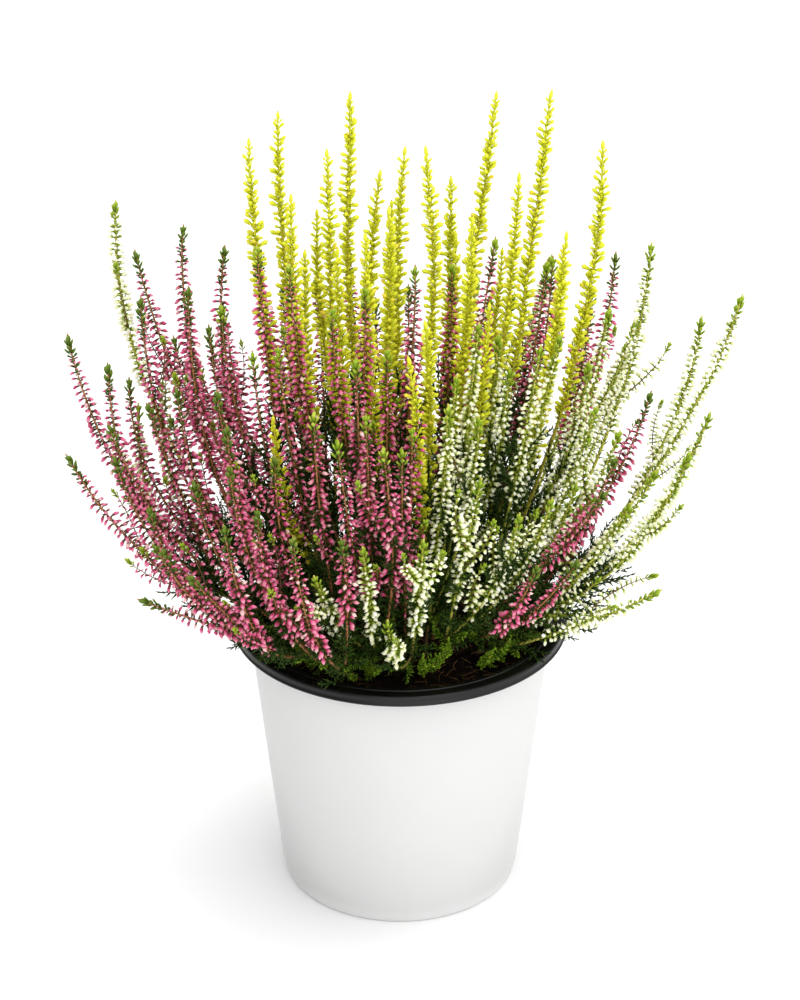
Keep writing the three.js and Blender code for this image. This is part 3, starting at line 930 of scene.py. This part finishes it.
def make_cover_pot():
    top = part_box("cover_pot")[1]
    slope = (top.x - COVER_BASE_RADIUS) / top.z

    def radius_at(height):
        return COVER_BASE_RADIUS + slope * height

    foot = COVER_BASE_RADIUS - COVER_FOOT_ROUND - COVER_STEP_DEPTH
    edge = COVER_EDGE_ROUND
    profile = [(0, 0), (foot * COVER_UNDERSIDE, 0)]
    profile += arc((foot, COVER_FOOT_ROUND), COVER_FOOT_ROUND, -90, 0)
    profile += [(radius_at(COVER_STEP) - COVER_STEP_DEPTH, COVER_STEP)]
    profile += [(radius_at(COVER_STEP), COVER_STEP + COVER_STEP_DEPTH)]
    profile += arc((top.x - edge, top.z - edge), edge, 0, 90)
    profile += arc((top.x - COVER_WALL + edge, top.z - edge), edge, 90, 180)
    profile += [(radius_at(COVER_FLOOR) - COVER_WALL, COVER_FLOOR), (0, COVER_FLOOR)]
    pot = turned("white_cover_pot", profile, POT_SEGMENTS)
    pot.data.materials.append(cover_plastic())
    stand_for(pot, "cover_pot")


def nursery_radius(height, base):
    share = (height - base) / (SKIRT_LOW - base)
    return NURSERY_BASE_RADIUS + share * (NURSERY_TOP_RADIUS - NURSERY_BASE_RADIUS)


def make_nursery_pot():
    low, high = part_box("nursery_pot")
    base, top, rim = low.z, high.z, high.x
    under = top - LIP_THICKNESS
    inner_skirt = rim - NURSERY_WALL
    floor = base + NURSERY_FLOOR
    profile = [(0, base)]
    foot = NURSERY_FOOT_ROUND
    profile += arc((NURSERY_BASE_RADIUS - foot, base + foot), foot, -90, 0)
    profile += [(nursery_radius(under, base), under), (inner_skirt, under), (inner_skirt, SKIRT_LOW)]
    bead = LIP_BEAD
    profile += arc((rim - bead, SKIRT_LOW + bead), bead, -90, 70)
    profile += [(rim - bead, SKIRT_LOW + BEAD_HEIGHT)]
    profile += arc((rim - bead - LIP_ROUND, top - LIP_ROUND), LIP_ROUND, 0, 90, LIP_STEPS)
    profile += [(rim - GROOVE_OUTER[0], top), (rim - GROOVE_OUTER[1], top - GROOVE_DEPTH)]
    profile += [(LIP_INNER_RADIUS + GROOVE_INNER[1], top - GROOVE_DEPTH)]
    profile += [(LIP_INNER_RADIUS + GROOVE_INNER[0], top)]
    profile += arc((LIP_INNER_RADIUS + LIP_ROUND, top - LIP_ROUND), LIP_ROUND, 90, 180, LIP_STEPS)
    profile += [(nursery_radius(under, base) - NURSERY_WALL, under)]
    profile += [(nursery_radius(floor, base) - NURSERY_WALL, floor), (0, floor)]
    pot = turned("black_nursery_pot", profile, POT_SEGMENTS)
    cut_to = DRAIN_CUT
    drill = [(0, -cut_to), (DRAIN_RADIUS, -cut_to), (DRAIN_RADIUS, cut_to), (0, cut_to)]
    cutters = []
    for x, y in circle(DRAIN_CIRCLE, DRAIN_HOLES):
        cutter = turned("drain", drill, DRAIN_SEGMENTS)
        cutter.data.transform(Matrix.Translation((x, y, base)))
        cut = pot.modifiers.new("drain", "BOOLEAN")
        cut.object = cutter
        cutters.append(cutter)
    mesh = evaluated_mesh(pot)
    pot.modifiers.clear()
    pot.data = mesh
    drop(*cutters)
    mesh.materials.clear()
    mesh.materials.append(nursery_plastic())
    stand_for(pot, "nursery_pot")


def soil_height(x, y):
    heaps = noise.noise(Vector((x, y, 0.3)) * HEAPS)
    lumps = noise.fractal(Vector((x, y, 1.7)) * LUMPS, 0.9, 2.0, 4)
    return SOIL_RELIEF * (HEAP_SHARE * heaps + LUMP_SHARE * lumps)


def make_fibre():
    """A root fibre: a thin bent thread that lies about flat."""
    last = FIBRE_POINTS - 1
    line = [
        (t * 7 * MM - 3.5 * MM, 1.1 * MM * math.sin(3.0 * t), 0.5 * MM * math.sin(3.1 * t))
        for t in [n / last for n in range(FIBRE_POINTS)]
    ]
    edges = [(n, n + 1) for n in range(last)]
    return path("fibre_path", line, edges, down=[n * MM for n in range(FIBRE_POINTS)])


def make_soil(stems, scatter, crumb):
    low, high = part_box("soil")
    rim_top = high.x
    shape = bmesh.new()
    rings = []
    for ring in range(1, SOIL_RINGS + 1):
        row = circle(rim_top * ring / SOIL_RINGS, SOIL_SEGMENTS)
        rings.append([shape.verts.new((x, y, SOIL_TOP + soil_height(x, y))) for x, y in row])
    middle = shape.verts.new((0, 0, SOIL_TOP + soil_height(0, 0)))
    slope = (NURSERY_TOP_RADIUS - NURSERY_BASE_RADIUS) / (SKIRT_LOW - low.z)
    foot_radius = rim_top - slope * (SOIL_TOP - low.z)
    foot = [shape.verts.new((x, y, low.z)) for x, y in circle(foot_radius, SOIL_SEGMENTS)]
    bottom = shape.verts.new((0, 0, low.z))
    for n in range(SOIL_SEGMENTS):
        after = (n + 1) % SOIL_SEGMENTS
        shape.faces.new((middle, rings[0][n], rings[0][after]))
        for inner, outer in zip(rings, rings[1:]):
            shape.faces.new((inner[n], outer[n], outer[after], inner[after]))
        shape.faces.new((rings[-1][n], foot[n], foot[after], rings[-1][after]))
        shape.faces.new((bottom, foot[after], foot[n]))
    bmesh.ops.recalc_face_normals(shape, faces=shape.faces)
    body = bpy.data.meshes.new("soil_body")
    shape.to_mesh(body)
    not_top = [face for face in shape.faces if face.normal.z < 0.5]
    bmesh.ops.delete(shape, geom=not_top, context="FACES")
    skin = bpy.data.meshes.new("soil_skin")
    shape.to_mesh(skin)
    shape.free()
    surface = linked("soil_skin", skin)
    earth = peat()
    body.materials.append(earth)
    shade_smooth(body)

    crumbs = grow(scatter, surface, {
        "Piece": crumb, "Material": earth, "Density": CRUMB_DENSITY,
        "Least Size": 0.25, "Most Size": 1.15, "Tilt": 3.0, "Seed": 5,
    })
    fibre_path = make_fibre()
    fibre_look = peat_fibre()
    thread = linked("fibre", grow(stems, fibre_path, {
        "Material": fibre_look, "Step": 1.4 * MM, "Sides": 3, "Tip Radius": 0.12 * MM,
        "Foot Radius": 0.16 * MM, "Thickens Over": 5 * MM,
    }))
    fibres = grow(scatter, surface, {
        "Piece": thread, "Material": fibre_look, "Density": FIBRE_DENSITY,
        "Least Size": 0.45, "Most Size": 1.3, "Tilt": 0.4, "Seed": 9,
    })
    drop(surface, fibre_path, thread)
    soil = one_piece("soil_and_fibres", [body, crumbs, fibres])
    stand_for(soil, "soil")


# ---- How each kind of spike is dressed ----
def layer(piece, look, **inputs):
    """One run of the whorl tree: its small piece, its finish and the tree's other inputs."""
    named = {label.replace("_", " "): value for label, value in inputs.items()}
    return {"Piece": piece, "Material": look, **named}


TIP = dict(Pitch=4 * MM, Per_Whorl=1, Most_Down=0.1 * MM, Tip_Lean=0.0)
BUDS = dict(
    Pitch=2.1 * MM, Least_Down=8 * MM, Most_Down=17 * MM, Grow_From=6 * MM, Grow_To=14 * MM,
    Tip_Size=0.85, Tip_Lean=0.65, Lean=1.05, Looseness=0.16,
)
FLORETS = dict(Least_Down=10.5 * MM, Most_Below=0.0, Grow_From=11 * MM, Tip_Lean=1.0, Looseness=0.2)
FLOWER_LEAVES = dict(
    Pitch=1.7 * MM, Least_Down=7 * MM, Most_Below=0.0, Tip_Lean=0.55, Lean=0.7, Looseness=0.3
)
TWIGS = dict(
    Pitch=11 * MM, Per_Whorl=1, Least_Below=-38 * MM, Least_Rise=34 * MM, Most_Below=25 * MM,
    Tip_Lean=0.3, Lean=0.3, Looseness=0.25, Painted=False,
)
FRESH_SHOOTS = dict(
    Pitch=4 * MM, Least_Rise=8 * MM, Most_Rise=26 * MM, Least_Below=0.0, Tip_Lean=0.6, Lean=0.6,
    Looseness=0.35, Painted=False,
)
LEAFY_TIP = layer("leafy_tip", "tip_leaf", **TIP, Looseness=0.06, Tip_Size=1.3)
WOODY = [
    layer(
        "needle", "dark_leaf", Pitch=1.5 * MM, Least_Below=-6 * MM, Least_Rise=3 * MM, Size=1.5,
        Tip_Lean=0.8, Lean=0.8, Looseness=0.3,
    ),
    layer(
        "shoot", "dark_leaf", Pitch=3.4 * MM, Least_Below=-24 * MM, Least_Rise=12 * MM,
        Most_Rise=95 * MM, Tip_Lean=0.42, Lean=0.42, Looseness=0.3, Painted=False,
    ),
    layer("fresh_shoot", "low_leaf", **FRESH_SHOOTS, Kept=0.5),
]
LAYERS = {
    "pink": [
        layer(
            "pink_floret", "pink_floret", **FLORETS, Pitch=1.42 * MM, Grow_To=34 * MM, Tip_Size=0.65,
            Size=1.06, Lean=1.5,
        ),
        LEAFY_TIP,
        layer("club_bud", "bud_leaf", **BUDS),
        layer("leaf", "bud_leaf", **FLOWER_LEAVES),
        layer("pink_twig", "dark_leaf", **TWIGS),
        *WOODY,
    ],
    "white": [
        layer(
            "white_floret", "white_floret", **FLORETS, Pitch=1.3 * MM, Grow_To=22 * MM, Tip_Size=0.72,
            Size=1.02, Lean=1.4,
        ),
        LEAFY_TIP,
        layer("club_bud", "white_leaf", **BUDS),
        layer("leaf", "white_leaf", **FLOWER_LEAVES, Size=1.25),
        layer("white_twig", "dark_leaf", **TWIGS),
        *WOODY,
    ],
    "yellow": [
        layer("blunt_tip", "yellow_leaf", **TIP, Looseness=0.06),
        layer(
            "club_bud", "yellow_leaf", Pitch=2.5 * MM, Least_Down=6.8 * MM, Most_Down=17 * MM,
            Grow_From=5 * MM, Grow_To=18 * MM, Tip_Size=1.2, Size=1.5, Tip_Lean=0.7, Lean=0.95,
            Looseness=0.18,
        ),
        layer(
            "club_bud", "yellow_leaf", Pitch=1.5 * MM, Least_Down=17 * MM, Most_Below=6 * MM,
            Grow_From=16 * MM, Grow_To=45 * MM, Tip_Size=1.45, Size=1.65, Tip_Lean=0.86, Lean=1.05,
            Looseness=0.26,
        ),
        layer(
            "leaf", "yellow_leaf", Pitch=1.4 * MM, Least_Down=5.5 * MM, Most_Below=6 * MM, Size=1.4,
            Tip_Lean=0.4, Lean=0.5, Looseness=0.25,
        ),
        *WOODY,
    ],
    "green": [
        layer(
            "blunt_leaf", "low_leaf", Pitch=0.85 * MM, Per_Whorl=4, Least_Rise=2 * MM, Grow_To=9 * MM,
            Tip_Size=0.8, Size=1.35, Tip_Lean=0.3, Lean=0.95, Looseness=0.18,
        ),
        layer("fresh_shoot", "low_leaf", **FRESH_SHOOTS, Kept=0.9),
    ],
}

# Each side branchlet: its length, its bark and its layers.
TWIG_TIP = layer("leafy_tip", "tip_leaf", **TIP, Looseness=0.0, Size=0.85, Tip_Size=0.85)
TWIG_FLORETS = dict(
    Pitch=1.9 * MM, Least_Down=7 * MM, Grow_From=6 * MM, Grow_To=22 * MM, Tip_Size=0.65, Tip_Lean=1.0,
    Lean=1.4, Looseness=0.2, Seed=5,
)
BRANCHLETS = {
    "shoot": (SHOOT_LENGTH, "dark_leaf", [layer(
        "needle", "dark_leaf", Pitch=1.65 * MM, Grow_To=6 * MM, Size=1.75, Tip_Lean=0.3, Lean=0.85,
        Looseness=0.25, Seed=3,
    )]),
    "fresh_shoot": (FRESH_LENGTH, "low_leaf", [layer(
        "leaf", "low_leaf", Pitch=1.1 * MM, Per_Whorl=4, Grow_To=4 * MM, Tip_Size=0.85, Size=1.2,
        Tip_Lean=0.3, Lean=0.95, Looseness=0.2, Seed=4,
    )]),
    "pink_twig": (TWIG_LENGTH, "pink_stem", [
        TWIG_TIP, layer("pink_floret", "pink_floret", **TWIG_FLORETS),
    ]),
    "white_twig": (TWIG_LENGTH, "white_stem", [
        TWIG_TIP, layer("white_floret", "white_floret", **TWIG_FLORETS),
    ]),
}

# Each finish by its kind of skin, with its colours in the order that the skin takes them. A leaf's first
# two colours are its painted shade and its painted sunlight.
FINISHES = {
    leaf_skin: {
        "tip_leaf": ((84, 112, 16), (176, 200, 60), (200, 206, 90)),
        "bud_leaf": ((38, 62, 16), (96, 130, 40), (150, 80, 60)),
        "outer_tip": ((54, 80, 16), (124, 148, 50), (150, 156, 66)),
        "white_leaf": ((74, 102, 18), (158, 184, 52), (180, 190, 76)),
        # dark_leaf dresses the needles and shoots inside the bush: their own dark green, made darker still
        # as painted shade of the crowded inside.
        "dark_leaf": ((22, 40, 6), (80, 112, 24), (112, 120, 32)),
        "low_leaf": ((62, 104, 16), (160, 196, 52), (200, 210, 80)),
        "yellow_leaf": ((204, 212, 30), (250, 250, 80), (242, 214, 80)),
    },
    floret_skin: {
        "pink_floret": ((122, 74, 38), (234, 100, 156), (190, 48, 108), (255, 216, 210), (84, 88, 28)),
        "white_floret": (
            (184, 204, 62), (255, 255, 228), (248, 250, 196), (255, 255, 246), (150, 180, 46)
        ),
    },
    stem_bark: {
        "pink_stem": ((180, 120, 72), (164, 96, 60), (84, 52, 36)),
        "white_stem": ((206, 206, 90), (198, 208, 78), (120, 90, 54)),
        "yellow_stem": ((212, 220, 30), (190, 186, 40), (90, 60, 40)),
        "green_stem": ((130, 150, 60), (140, 110, 60), (120, 84, 54)),
    },
}


def make_looks():
    return {
        name: skin(name, *[colour(*parts) for parts in colours])
        for skin, finishes in FINISHES.items()
        for name, colours in finishes.items()
    }


def dress(whorls, stems, dressing, pieces, looks, **changes):
    """The mesh of one layer along stems."""
    named = {"Piece": pieces[dressing["Piece"]], "Material": looks[dressing["Material"]]}
    return grow(whorls, stems, {**dressing, **named, **changes})


def make_branchlet(name, stem_maker, whorls, pieces, looks):
    """A side branchlet that curves upwards. It keeps its own finishes."""
    length, bark, layers = BRANCHLETS[name]
    last = BRANCHLET_POINTS - 1
    reach = [n / last for n in range(BRANCHLET_POINTS)]
    line = [
        (length * 0.17 * (math.sin(1.6 * t) - 1.1 * t * t), 0.5 * MM * math.sin(4 * t), length * t)
        for t in reach
    ]
    stem = path(
        name, line, [(n, n + 1) for n in range(last)],
        down=[length * (1 - t) for t in reach], below=[0.0] * len(reach),
        rise=[length * t for t in reach], spike=[0.3] * len(reach),
    )
    meshes = [grow(stem_maker, stem, {
        "Material": looks[bark], "Step": 6 * MM, "Sides": 3, "Tip Radius": 0.18 * MM,
        "Foot Radius": 0.38 * MM, "Thickens Over": length,
    })]
    meshes += [dress(whorls, stem, dressing, pieces, looks) for dressing in layers]
    drop(stem)
    return one_piece(name, meshes)


def make_plants(stem_maker, whorls, pieces, looks):
    noise.seed_set(TINT_SEED)
    sprays = sorted(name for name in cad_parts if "_spray_" in name)
    for seed, node in enumerate(sprays):
        kind, _, number = node.split("_")
        spikes, fork_share = read_spikes(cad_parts[node])
        stems = stem_paths(f"{node}_paths", spikes, fork_share, kind, seed)
        tip_radius, foot_radius = STEM_RADII[kind]
        meshes = [grow(stem_maker, stems, {
            "Material": looks[f"{kind}_stem"], "Tip Radius": tip_radius, "Foot Radius": foot_radius,
        })]
        outer = max(math.hypot(tip[0], tip[1]) for _, _, tip in spikes) > OUTER_SPREAD
        for step, dressing in enumerate(LAYERS[kind]):
            piece = dressing["Piece"]
            changes = {"Seed": LAYER_SEEDS * seed + step}
            if piece in SHARES:
                changes["Kept"] = SHARES[piece][outer]
            if outer and piece == "shoot":
                changes["Most Rise"] = OUTER_SHOOT_RISE
            if outer and kind == "pink" and piece == "leafy_tip":
                changes["Material"] = looks["outer_tip"]
            meshes.append(dress(whorls, stems, dressing, pieces, looks, **changes))
        drop(stems)
        spray = one_piece(f"{kind}_heather_{number}", meshes)
        stand_for(spray, node)


# ---- Studio ----
def make_floor():
    bpy.ops.mesh.primitive_circle_add(vertices=96, radius=FLOOR_RADIUS, fill_type="NGON")
    floor = bpy.context.object
    floor.name = "studio_floor"
    floor.data.materials.append(studio_floor())


def add_sun(name, azimuth, elevation, strength, softness):
    """A broad light from one side, with its angles in radians."""
    light = bpy.data.lights.new(name, "SUN")
    light.energy = strength
    light.angle = softness
    level = math.cos(elevation)
    towards = Vector((level * math.sin(azimuth), -level * math.cos(azimuth), math.sin(elevation)))
    linked(name, light).rotation_euler = (-towards).to_track_quat("-Z", "Y").to_euler()


def make_studio():
    scene = bpy.context.scene
    world = bpy.data.worlds.new("studio")
    world.use_nodes = True
    world.node_tree.nodes["Background"].inputs["Color"].default_value = (1.0, 1.0, 1.0, 1.0)
    graph = Graph(world.node_tree)
    seen = graph.node("ShaderNodeLightPath", out="Is Camera Ray")
    strength = world.node_tree.nodes["Background"].inputs["Strength"]
    world.node_tree.links.new((seen * WORLD_SEEN + WORLD_LIGHT).socket, strength)
    scene.world = world
    scene.view_settings.view_transform = "Standard"
    scene.view_settings.look = "Medium High Contrast"
    for name, (azimuth, elevation, power, softness) in LIGHTS.items():
        add_sun(name, math.radians(azimuth), math.radians(elevation), power, math.radians(softness))
    make_floor()
    camera = bpy.data.cameras.new("camera")
    camera.lens = FOCAL_PIXELS * SENSOR / PICTURE_HEIGHT
    camera.sensor_width = SENSOR
    eye = linked("camera", camera)
    back = Vector((0, -math.cos(CAMERA_ELEVATION), math.sin(CAMERA_ELEVATION)))
    eye.location = CAMERA_AIM + back * CAMERA_DISTANCE
    eye.rotation_euler = (-back).to_track_quat("-Z", "Y").to_euler()
    scene.camera = eye


# ---- Assembly ----
make_studio()
make_cover_pot()
make_nursery_pot()
stem_maker = stem_tree()
whorl_maker = whorl_tree()
crumb = make_crumb()
make_soil(stem_maker, scatter_tree(), crumb)
all_looks = make_looks()
small_pieces = {
    "pink_floret": make_pink_floret(),
    "white_floret": make_white_floret(),
    "needle": make_needle(),
    "leaf": make_leaf(),
    "blunt_leaf": make_blunt_leaf(),
    "leafy_tip": make_leafy_tip(),
    "blunt_tip": make_blunt_tip(),
    "club_bud": make_club_bud(),
}
small_pieces.update({
    name: make_branchlet(name, stem_maker, whorl_maker, small_pieces, all_looks) for name in BRANCHLETS
})
make_plants(stem_maker, whorl_maker, small_pieces, all_looks)
drop(crumb, *small_pieces.values())
